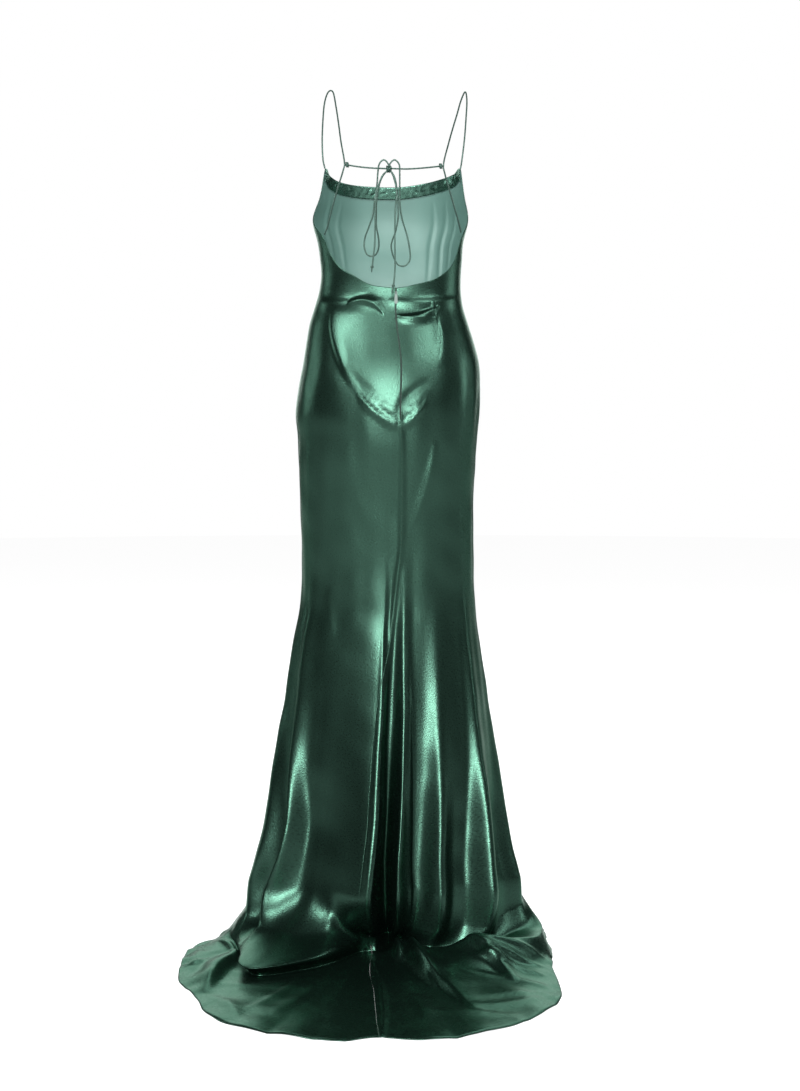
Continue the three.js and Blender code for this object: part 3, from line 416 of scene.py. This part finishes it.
def cloth_point(angle, level):
    """Point of the cloth in millimetres. A level from 0 up is a height above the ankle on the
    body. From 0 to -1 a Hermite curve runs through the instep, the break, the tuck and the
    middle of the train to the hem: it leaves the body in the body's own direction, and at each
    further point its tangent is the mean of the two chords there, the shorter one counting more,
    and as long as the shorter one."""
    angle, level = np.broadcast_arrays(np.asarray(angle, float), np.asarray(level, float))
    body = body_point(angle, ANKLE + np.maximum(level, 0))
    turn = np.radians(angle)
    wrapped = turn_between(angle, 0)
    low = fold_relief(angle, FOLD_HEIGHTS[0] + 0 * angle, on_floor=True)
    front = smoothstep((np.abs(wrapped) - FRONT_HEM[0]) / FRONT_HEM[1])
    swept = [hermite(SWEEP[:, 0], SWEEP[:, k], wrapped, 360) for k in range(1, 8)]

    def on_floor(radius, z):
        """Point at a distance from the frame's axis and a height above the floor."""
        return np.stack([radius * np.sin(turn), radius * np.cos(turn), FLOOR + z], -1)

    ankle = body_point(angle, ANKLE + 0 * angle)
    broken = on_floor(swept[0] + low, swept[1])
    instep = ankle + (broken - ankle) * INSTEP
    points = [
        ankle,
        instep,
        broken,
        on_floor(swept[2] + (TUCK_FOLD + (1 - TUCK_FOLD) * front) * low, swept[3]),
        on_floor(swept[4] + front * low, swept[5]),
        on_floor(swept[6] + front * low, HEM_Z + 0 * low),
    ]
    chords = [b - a for a, b in zip(points[:-1], points[1:])]
    spans = [np.linalg.norm(c, axis=-1, keepdims=True) for c in chords]
    leave = ankle - body_point(angle, ANKLE + LEAVE + 0 * angle)
    slopes = [leave / np.linalg.norm(leave, axis=-1, keepdims=True)]
    for k in (1, 2, 3, 4):
        before, after = chords[k - 1] / spans[k - 1], chords[k] / spans[k]
        slopes.append((before * spans[k] + after * spans[k - 1]) / (spans[k - 1] + spans[k]))
    slopes.append(chords[4] / spans[4])
    along = np.clip(-level * 5, 0, 5)
    i = np.minimum(along.astype(int), 4)
    t = (along - i)[..., None]

    def pick(rows, step=0):
        """The row of each point's own span, or the one a step further."""
        return np.take_along_axis(np.stack(rows), (i + step)[None, ..., None], 0)[0]

    reach = [spans[0]] + [np.minimum(a, b) for a, b in zip(spans[:-1], spans[1:])] + [spans[-1]]
    pulls = [slope * length for slope, length in zip(slopes, reach)]
    train = (pick(points) * (1 + 2 * t) * (1 - t) ** 2 + pick(points, 1) * t * t * (3 - 2 * t)
             + pick(pulls) * t * (1 - t) ** 2 + pick(pulls, 1) * t * t * (t - 1))
    lying = (smoothstep((LYING[0] - level) / LYING[1])
             * smoothstep((LYING_BEHIND[0] - np.abs(wrapped)) / LYING_BEHIND[1]))
    ease = 1 - EASE[2] * smoothstep((EASE[0] - level) / EASE[1])
    train[..., 2] += lying * ease * crease_field(train[..., 0], train[..., 1], TRAIN_FOLDS)
    train[..., 2] = np.maximum(train[..., 2], FLOOR + HEM_Z)
    return np.where((level >= 0)[..., None], body, train)


def ripple(u, v, row):
    """Uneven soft ripples by a row of their table: its height times the sum of a few sine waves,
    each of random direction, length and phase, over the root of their number."""
    rise, seed, long, short = row
    random = np.random.default_rng(seed)
    total = np.zeros_like(u)
    for _ in range(RIPPLE_WAVES):
        turn = random.uniform(0, math.pi)
        pitch = random.uniform(short, long)
        phase = random.uniform(0, 2 * math.pi)
        total += np.sin((u * math.cos(turn) + v * math.sin(turn)) * 2 * math.pi / pitch + phase)
    return rise * (total / math.sqrt(RIPPLE_WAVES))


def dressed_relief(angle, level, points):
    """Small forms of the satin in millimetres, added along its normal."""
    height = ANKLE + np.maximum(level, 0)
    on_body = smoothstep((level + BODY_BLEND) / BODY_BLEND)
    table = CREASES.copy()
    table[:, [0, 2]] *= width_of(1)
    across = width_of(angle)
    relief = on_body * crease_field(across, height, table)
    relief += fine_relief(angle, height) * smoothstep((level + FINE_BLEND) / FINE_BLEND)
    relief += (ripple(across, height * SHEATH_STRETCH, SHEATH_RIPPLE) * on_body
               * smoothstep((SHEATH_START[0] - height) / SHEATH_START[1]))
    behind = smoothstep((SMALL_BEHIND[0] - np.abs(turn_between(angle, 0))) / SMALL_BEHIND[1])
    on_train = smoothstep((SMALL_LYING[0] - level) / SMALL_LYING[1]) * behind
    x, y = points[..., 0], points[..., 1]
    relief += on_train * crease_field(x, y, TRAIN_CREASES)
    relief += on_train * (ripple(x, y, TRAIN_RIPPLES[0]) + ripple(x, y, TRAIN_RIPPLES[1]))
    waver = np.abs(ripple(angle * HEM_WIDTH, 0 * angle, HEM_RIPPLE))
    start, span, rise = HEM_LIFT
    return relief + rise * smoothstep((start - level) / span) * waver * on_train


def grid_object(name, points, uv, closed=False):
    """A mesh of quads over a grid of points (rows by columns) with one UV value per point."""
    rows, columns = points.shape[:2]
    index = np.arange(rows * columns).reshape(rows, columns)
    if closed:
        index = np.concatenate([index, index[:, :1]], 1)
    quads = np.stack([index[:-1, :-1], index[:-1, 1:], index[1:, 1:], index[1:, :-1]], -1)
    quads = quads.reshape(-1, 4)
    mesh = bpy.data.meshes.new(name)
    mesh.vertices.add(rows * columns)
    mesh.vertices.foreach_set("co", (points.reshape(-1, 3) * MM).ravel())
    mesh.loops.add(quads.size)
    mesh.loops.foreach_set("vertex_index", quads.ravel())
    mesh.polygons.add(len(quads))
    mesh.polygons.foreach_set("loop_start", np.arange(len(quads)) * 4)
    mesh.polygons.foreach_set("use_smooth", np.ones(len(quads), bool))
    mesh.update(calc_edges=True)
    layer = mesh.uv_layers.new(name="cloth")
    layer.data.foreach_set("uv", uv.reshape(-1, 2)[quads.ravel()].ravel())
    mesh.validate()
    piece = bpy.data.objects.new(name, mesh)
    bpy.context.scene.collection.objects.link(piece)
    return piece


def normals_of(points):
    """Outward unit normals of a grid whose rows run down and columns run towards larger angles."""
    down = np.gradient(points, axis=0)
    round_ = np.gradient(points, axis=1)
    normal = np.cross(round_, down)
    return normal / np.maximum(np.linalg.norm(normal, axis=-1, keepdims=True), 1e-9)


def wall(piece, thickness, inner_slot=0):
    """Gives a one-sided grid its thickness, inwards, with the inner face in its own slot."""
    solid = piece.modifiers.new("wall", "SOLIDIFY")
    solid.thickness = thickness * MM
    solid.offset = -1
    solid.use_even_offset = False
    solid.material_offset = inner_slot
    solid.material_offset_rim = 0


def row_table(count_top, count_body, count_train):
    """Row positions: 0 to 1 on the bodice, 1 to 2 down the body, 2 to 3 over the train."""
    return np.concatenate([np.linspace(0, 1, count_top, endpoint=False),
                           np.linspace(1, 2, count_body, endpoint=False),
                           2 + np.linspace(0, 1, count_train) ** ROW_CROWD])


def level_at(row, angle):
    """Level of a row at an angle: from the top edge to the yoke, on to the ankle, to the hem."""
    top, yoke = top_edge(angle), YOKE
    ankle = FLOOR + ANKLE
    z = np.where(row < 1, top + (yoke - top) * row, yoke + (ankle - yoke) * (row - 1))
    return np.where(row <= 2, z - ankle, 2 - row)


def side_seam(side, row):
    """Angle of a side seam, which leans to the front by the square of the way down."""
    share = np.interp(row, *SIDE_SEAM_DOWN)
    return side * (90 + SIDE_SEAM_LEAN * share ** 2)


def cloth_panel(name, rows, angles):
    """A panel over its rows and each row's angles, its small forms added along the normal. The
    cloth map takes the width from the angle, and the length from the steps down each column."""
    level = level_at(rows[:, None] + 0 * angles, angles)
    points = cloth_point(angles, level)
    points = points + normals_of(points) * dressed_relief(angles, level, points)[..., None]
    points[..., 2] = np.maximum(points[..., 2], FLOOR + WALL + FLOOR_GAP)
    along = np.concatenate([np.zeros((1, angles.shape[1])), np.cumsum(
        np.linalg.norm(np.diff(points, axis=0), axis=-1), 0)], 0)
    uv = np.stack([width_of(angles), along], -1) * MM
    return grid_object(name, points, uv)


def back_panel(side):
    """A back, from the centre seam to its side seam. The gap at the seam is a width, turned into
    degrees by how far the cloth moves sideways in one degree."""
    columns, *row_counts = BACK_GRID
    rows = row_table(*row_counts)
    seam_level = level_at(rows, np.full_like(rows, SEAM_ROWS_AT))
    seam = seam_angle(seam_level)
    after, before = (cloth_point(seam + step, seam_level) for step in (SEAM_STEP, -SEAM_STEP))
    speed = np.linalg.norm(after - before, axis=-1) / (2 * SEAM_STEP)
    in_zip = seam_level > ZIP_END - FLOOR - ANKLE
    gap = np.where(in_zip, ZIP_HALF_GAP, SEAM_HALF_GAP)
    inner = seam + side * gap / speed
    outer = side_seam(side, rows) - side * SIDE_GAP
    share = np.linspace(0, 1, columns) ** COLUMN_CROWD
    angles = inner[:, None] + (outer - inner)[:, None] * share
    if side < 0:
        angles = angles[:, ::-1]
    name = "back_left_satin" if side > 0 else "back_right_satin"
    return cloth_panel(name, rows, angles)


def front_panel():
    """The front, from one side seam round to the other."""
    columns, *row_counts = FRONT_GRID
    rows = row_table(*row_counts)
    start, end = side_seam(1, rows) + SIDE_GAP, 360 + side_seam(-1, rows) - SIDE_GAP
    angles = start[:, None] + (end - start)[:, None] * np.linspace(0, 1, columns)
    return cloth_panel("front_satin", rows, angles)


def neck_facing():
    """Band inside the front neck, under the front's inner face, with its own soft ripples."""
    rows, angles = np.linspace(0, 1, FACING_GRID[0]), np.linspace(*FACING_ENDS, FACING_GRID[1])
    row, angle = np.meshgrid(rows, angles, indexing="ij")
    z = top_edge(angle) - FACING_DROP - FACING_DEPTH * row
    points = cloth_point(angle, z - FLOOR - ANKLE)
    wave = ripple(angle * FACING_DEGREE, z, FACING_RIPPLE) * np.sin(math.pi * row)
    under = WALL + FACING_UNDER + FACING_SWELL * np.abs(wave) + FACING_LEAN * row
    points = points - normals_of(points) * under[..., None]
    uv = np.stack([angle * FACING_DEGREE, z], -1) * MM
    return grid_object("neck_facing_satin", points, uv)


def smooth_route(points, per_span=8):
    """Catmull-Rom curve through a cord's points, as many small steps."""
    knots = np.array(points, float)
    ends = np.concatenate([[2 * knots[0] - knots[1]], knots, [2 * knots[-1] - knots[-2]]])
    t = np.linspace(0, 1, per_span, endpoint=False)[:, None]
    spans = []
    for a, b, c, d in zip(ends[:-3], ends[1:-2], ends[2:-1], ends[3:]):
        spans.append(0.5 * (2 * b + (c - a) * t + (2 * a - 5 * b + 4 * c - d) * t ** 2
                            + (3 * b - a - 3 * c + d) * t ** 3))
    return np.concatenate(spans + [knots[-1:]])


def rouleau(name, route, radius=CORD / 2, sides=14, beside_axis=(0.0, 1.0, 0.0)):
    """A bias tube along a route: rings square to it, wider and narrower by a sine of the way
    along and round, dented at the seam, and rounded at both ends by a square root."""
    path = smooth_route(route)
    tangent = np.gradient(path, axis=0)
    tangent /= np.linalg.norm(tangent, axis=1, keepdims=True)
    across = np.cross(tangent, beside_axis)
    across /= np.linalg.norm(across, axis=1, keepdims=True)
    beside = np.cross(tangent, across)
    turn = np.linspace(0, 2 * math.pi, sides, endpoint=False)
    run = np.concatenate([[0], np.cumsum(np.linalg.norm(np.diff(path, axis=0), axis=1))])
    swell = (1 + CORD_SWELL * np.sin(run[:, None] * CORD_PITCH + 2 * turn)
             - CORD_DENT * (np.cos(turn - CORD_SEAM_AT) > CORD_SEAM_NARROW))
    ends = np.minimum(1, np.sqrt(np.minimum(run, run[-1] - run) / radius + CORD_TIP))[:, None]
    size = (radius * swell * ends)[..., None]
    points = path[:, None] + size * (across[:, None] * np.cos(turn)[:, None]
                                     + beside[:, None] * np.sin(turn)[:, None])
    shape = run.shape + turn.shape
    uv = np.stack([np.broadcast_to(turn / (2 * math.pi), shape) * CORD_ROUND,
                   np.broadcast_to(run[:, None] * MM, shape)], -1)
    return grid_object(name, points, uv, closed=True), path


def wound_knot(name, centre, reach, turns, lean, axis=0, radius=CORD / 2):
    """A cord wound on itself: rings round an axis that drift along it, leaning by a sine."""
    turn = np.linspace(0, 2 * math.pi * turns, TURN_POINTS * turns + 1)
    drift = np.linspace(-1, 1, len(turn))
    route = np.stack([drift * reach[0] + lean * np.sin(turn), reach[1] * np.cos(turn),
                      reach[2] * np.sin(turn)], -1)
    line = np.roll((1.0, 0.0, 0.0), axis)
    return rouleau(name, np.roll(route, axis, 1) + centre, radius, beside_axis=line)[0]


# Camera at the photograph's place
camera_data = bpy.data.cameras.new("camera")
camera_data.lens = CAMERA_LENS
camera_data.sensor_width = CAMERA_FILM
camera = bpy.data.objects.new("camera", camera_data)
camera.location = (*CAMERA_PLACE[:2], CAMERA_PLACE[2] + FLOOR * MM)
camera.rotation_euler = (math.radians(90 - CAMERA_TILT), 0, math.pi)
bpy.context.scene.collection.objects.link(camera)
bpy.context.scene.camera = camera


BIAS = 0.785  # turn of the threads on the cloth map, an eighth of a circle
SPARKLE = 0.26  # how far the roughness goes with the threads
OBJECT_OUTPUT = 3  # the texture coordinate node's own-shape output


class Value:
    """A shader socket that numbers and other sockets can be added to or multiplied by."""

    def __init__(self, tree, socket):
        self.tree, self.socket = tree, socket

    def math(self, operation, other):
        return self.tree.node("ShaderNodeMath", {"operation": operation}, {0: self, 1: other})

    def __add__(self, other):
        return self.math("ADD", other)

    def __mul__(self, other):
        return self.math("MULTIPLY", other)


class Finish:
    """One material: its node tree, and the one way that nodes are added to it."""

    def __init__(self, name):
        self.material = bpy.data.materials.new(name)
        self.material.use_nodes = True
        self.nodes = self.material.node_tree.nodes
        self.links = self.material.node_tree.links
        self.nodes.clear()

    def node(self, kind, settings=None, inputs=None, output=0):
        """Adds a node: its settings first, then the values or links of its sockets."""
        node = self.nodes.new(kind)
        for key, value in (settings or {}).items():
            setattr(node, key, value)
        for key, value in (inputs or {}).items():
            if isinstance(value, Value):
                self.links.new(value.socket, node.inputs[key])
            else:
                node.inputs[key].default_value = value
        return Value(self, node.outputs[output])

    def surface(self, inputs):
        """Ends the tree with its one Principled shader."""
        shader = self.node("ShaderNodeBsdfPrincipled", inputs=inputs)
        output = self.nodes.new("ShaderNodeOutputMaterial")
        self.links.new(shader.socket, output.inputs["Surface"])

    def uv(self, scale, turn=0.0):
        """The piece's own cloth map in metres, turned and then scaled."""
        place = self.node("ShaderNodeUVMap", {"uv_map": "cloth"})
        turned = self.node("ShaderNodeMapping", inputs={"Vector": place, "Rotation": (0, 0, turn)})
        return self.node("ShaderNodeMapping", inputs={"Vector": turned, "Scale": scale})

    def noise(self, vector, scale=1.0, detail=2.0, roughness=0.5):
        """Fractal noise over a vector, from 0 to 1 with its mean at a half."""
        return self.node("ShaderNodeTexNoise", inputs={
            "Vector": vector, "Scale": scale, "Detail": detail, "Roughness": roughness})

    def bump(self, height, strength, distance):
        """The normal that a relief gives, its distance in metres."""
        return self.node("ShaderNodeBump", inputs={
            "Strength": strength, "Distance": distance, "Height": height})

    def mix(self, factor, low, high):
        """The low colour where the factor is nothing, the high one where it is one."""
        mixer = self.nodes.new("ShaderNodeMix")
        mixer.data_type = "RGBA"
        self.links.new(factor.socket, mixer.inputs[0])
        mixer.inputs[6].default_value = low
        mixer.inputs[7].default_value = high
        return Value(self, mixer.outputs[2])


def satin(name, colour, deep, roughness, metallic):
    """Bias-cut satin: short floats lie at 45 degrees and make the gloss sparkle finely. Tone and
    relief are weighted sums of noises, and the roughness goes up and down with the threads."""
    finish = Finish(name)
    threads = finish.noise(finish.uv((420.0, 420.0, 1.0), BIAS), detail=3.0, roughness=0.65)
    floats = finish.noise(finish.uv((700.0, 180.0, 1.0), BIAS), detail=2.0)
    clouds = finish.noise(finish.uv((7.0, 4.0, 1.0)), detail=2.0)
    tone = finish.mix(clouds * 0.3 + threads * 0.7, deep, colour)
    finish.surface({
        "Base Color": tone, "Metallic": metallic,
        "Normal": finish.bump(threads + floats * 0.6, 0.5, 0.0005),
        "Roughness": threads * SPARKLE + (roughness - SPARKLE / 2),
        "Specular Tint": (0.55, 0.7, 0.62, 1)})
    return finish.material


def reverse_side(name, colour, deep):
    """The satin's dull reverse: weft-faced, matt, with a fine crosswise weave."""
    finish = Finish(name)
    weave = finish.noise(finish.uv((700.0, 900.0, 1.0)), detail=2.0, roughness=0.6)
    clouds = finish.noise(finish.uv((14.0, 7.0, 1.0)), detail=2.0)
    tone = finish.mix(clouds * 0.6 + weave * 0.4, deep, colour)
    finish.surface({"Base Color": tone, "Metallic": 0.15, "Roughness": weave * 0.1 + 0.5,
                    "Normal": finish.bump(weave, 0.3, 0.0003),
                    "Sheen Weight": 0.25, "Sheen Roughness": 0.5, "Sheen Tint": colour})
    return finish.material


def woven_tape(name, colour, deep):
    """Matt tape of the zip, woven finely both ways."""
    finish = Finish(name)
    weave = finish.noise(finish.uv((1400.0, 1400.0, 1.0)), detail=2.0)
    tone = finish.mix(weave, deep, colour)
    finish.surface({"Base Color": tone, "Roughness": 0.85,
                    "Normal": finish.bump(weave, 0.4, 0.0002)})
    return finish.material


def enamel(name, colour, deep):
    """Baked enamel on cast metal, finely specked."""
    finish = Finish(name)
    place = finish.node("ShaderNodeTexCoord", output=OBJECT_OUTPUT)
    specks = finish.noise(place, scale=900.0, detail=3.0)
    tone = finish.mix(specks, deep, colour)
    finish.surface({"Base Color": tone, "Metallic": 0.1, "Roughness": specks * 0.15 + 0.42,
                    "Normal": finish.bump(specks, 0.2, 0.0001)})
    return finish.material


SATIN = satin("satin_face", (0.031, 0.071, 0.052, 1), (0.0095, 0.024, 0.0175, 1), 0.30, 0.95)
FACING = satin("satin_facing", (0.070, 0.152, 0.118, 1), (0.040, 0.092, 0.070, 1), 0.27, 0.92)
REVERSE = reverse_side("satin_reverse", (0.074, 0.150, 0.128, 1), (0.053, 0.115, 0.098, 1))
ROULEAU = satin("rouleau_satin", (0.040, 0.072, 0.060, 1), (0.018, 0.036, 0.029, 1), 0.36, 0.5)
TAPE = woven_tape("zip_tape_weave", (0.010, 0.024, 0.018, 1), (0.005, 0.012, 0.009, 1))
ENAMEL = enamel("zip_enamel", (0.06, 0.09, 0.078, 1), (0.04, 0.065, 0.055, 1))


def dress(piece, node, slot, *materials):
    """Stands a piece in for its CAD node, with its finishes."""
    for material in materials:
        piece.data.materials.append(material)
    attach(piece, "gown")
    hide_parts(node)


def make_cords():
    """Straps, ties, loops, free ends and their knots. The straps are sewn in at both ends."""
    bow_knot = wound_knot("bow_knot_rouleau", BOW_KNOT, *BOW_WIND)
    dress(bow_knot, "bow_knot", "rouleau", ROULEAU)
    for side in ("left", "right"):
        strap = rouleau(f"strap_{side}_rouleau", STRAP_ROUTES[side])[0]
        dress(strap, f"strap_{side}", "rouleau", ROULEAU)
        for kind, routes, end in (("tie", TIE_ROUTES, "object"), ("bow_loop", LOOP_ROUTES, "object"),
                                  ("bow_end", END_ROUTES, "bare")):
            cord, path = rouleau(f"{kind}_{side}_rouleau", routes[side])
            dress(cord, f"{kind}_{side}", "rouleau", ROULEAU)
            knots = [bow_knot] if (kind, side) == ("bow_loop", "left") else []
            if kind == "bow_end":
                knots = [wound_knot(f"end_knot_{side}", END_KNOTS[side], *END_WIND, axis=2,
                                    radius=END_WIND_RADIUS)]
                dress(knots[0], f"{kind}_{side}", "rouleau", ROULEAU)
        knot = wound_knot(f"strap_knot_{side}_rouleau", STRAP_KNOTS[side], *STRAP_WIND)
        dress(knot, f"strap_knot_{side}", "rouleau", ROULEAU)


make_cords()

left = back_panel(1)
right = back_panel(-1)
front = front_panel()
facing = neck_facing()
for piece, node in ((left, "back_left_panel"), (right, "back_right_panel"), (front, "front_panel")):
    dress(piece, node, "satin", SATIN, REVERSE)
    wall(piece, WALL, 1)
dress(facing, "front_neck_facing", "facing_satin", FACING)
wall(facing, FACING_WALL)

for node, material in (("zip_tape", TAPE), ("zip_slider", ENAMEL), ("zip_pull", ENAMEL)):
    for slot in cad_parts[node].material_slots:
        slot.material = material


def studio():
    """Pale floor, a plain white surround that only the camera sees, and soft banks of light."""
    def stage_mesh(name, points, faces, grey, glow):
        """A matt mesh of the studio in a shade of grey, glowing white by its own strength."""
        finish = Finish(name)
        finish.surface({"Base Color": (grey, grey, grey, 1), "Roughness": 1.0,
                        "Specular IOR Level": 0.0, "Emission Color": (1, 1, 1, 1),
                        "Emission Strength": glow})
        mesh = bpy.data.meshes.new(name)
        mesh.from_pydata(points, [], faces)
        mesh.materials.append(finish.material)
        piece = bpy.data.objects.new(name, mesh)
        bpy.context.scene.collection.objects.link(piece)
        return piece

    z, reach, sides = FLOOR * MM, STUDIO_REACH, STUDIO_SIDES
    stage_mesh("studio_floor", [(-reach, -reach, z), (reach, -reach, z), (reach, reach, z),
                                (-reach, reach, z)], [(0, 1, 2, 3)], 0.3, 0.95)
    turns = np.linspace(0, 2 * math.pi, sides, endpoint=False)
    ring = [(reach * math.cos(a), reach * math.sin(a)) for a in turns]
    points = [(x, y, z) for x, y in ring] + [(x, y, z + STUDIO_HEIGHT) for x, y in ring]
    faces = [((k + 1) % sides, k, k + sides, (k + 1) % sides + sides) for k in range(sides)]
    surround = stage_mesh("studio_surround", points, faces, 0, 1.0)
    surround.visible_glossy = False
    surround.visible_diffuse = False
    surround.visible_shadow = False

    def bank(name, place, aim, size, radiance):
        """A soft rectangular light: its power is pi times the area times the radiance."""
        light = bpy.data.lights.new(name, "AREA")
        light.shape = "RECTANGLE"
        light.size, light.size_y = size
        light.energy = math.pi * size[0] * size[1] * radiance
        lamp = bpy.data.objects.new(name, light)
        lamp.location = place
        direction = np.array(aim, float) - np.array(place, float)
        length = np.linalg.norm(direction)
        lamp.rotation_euler = (math.acos(-direction[2] / length), 0,
                               math.atan2(direction[1], direction[0]) - math.pi / 2)
        lamp.visible_camera = False
        bpy.context.scene.collection.objects.link(lamp)

    for row in BANKS:
        bank(*row)

    world = bpy.data.worlds.new("studio")
    bpy.context.scene.world = world
    world.use_nodes = True
    background = world.node_tree.nodes["Background"]
    background.inputs["Color"].default_value = (1, 1, 1, 1)
    background.inputs["Strength"].default_value = WORLD_LIGHT
    bpy.context.scene.view_settings.view_transform = "Standard"


studio()
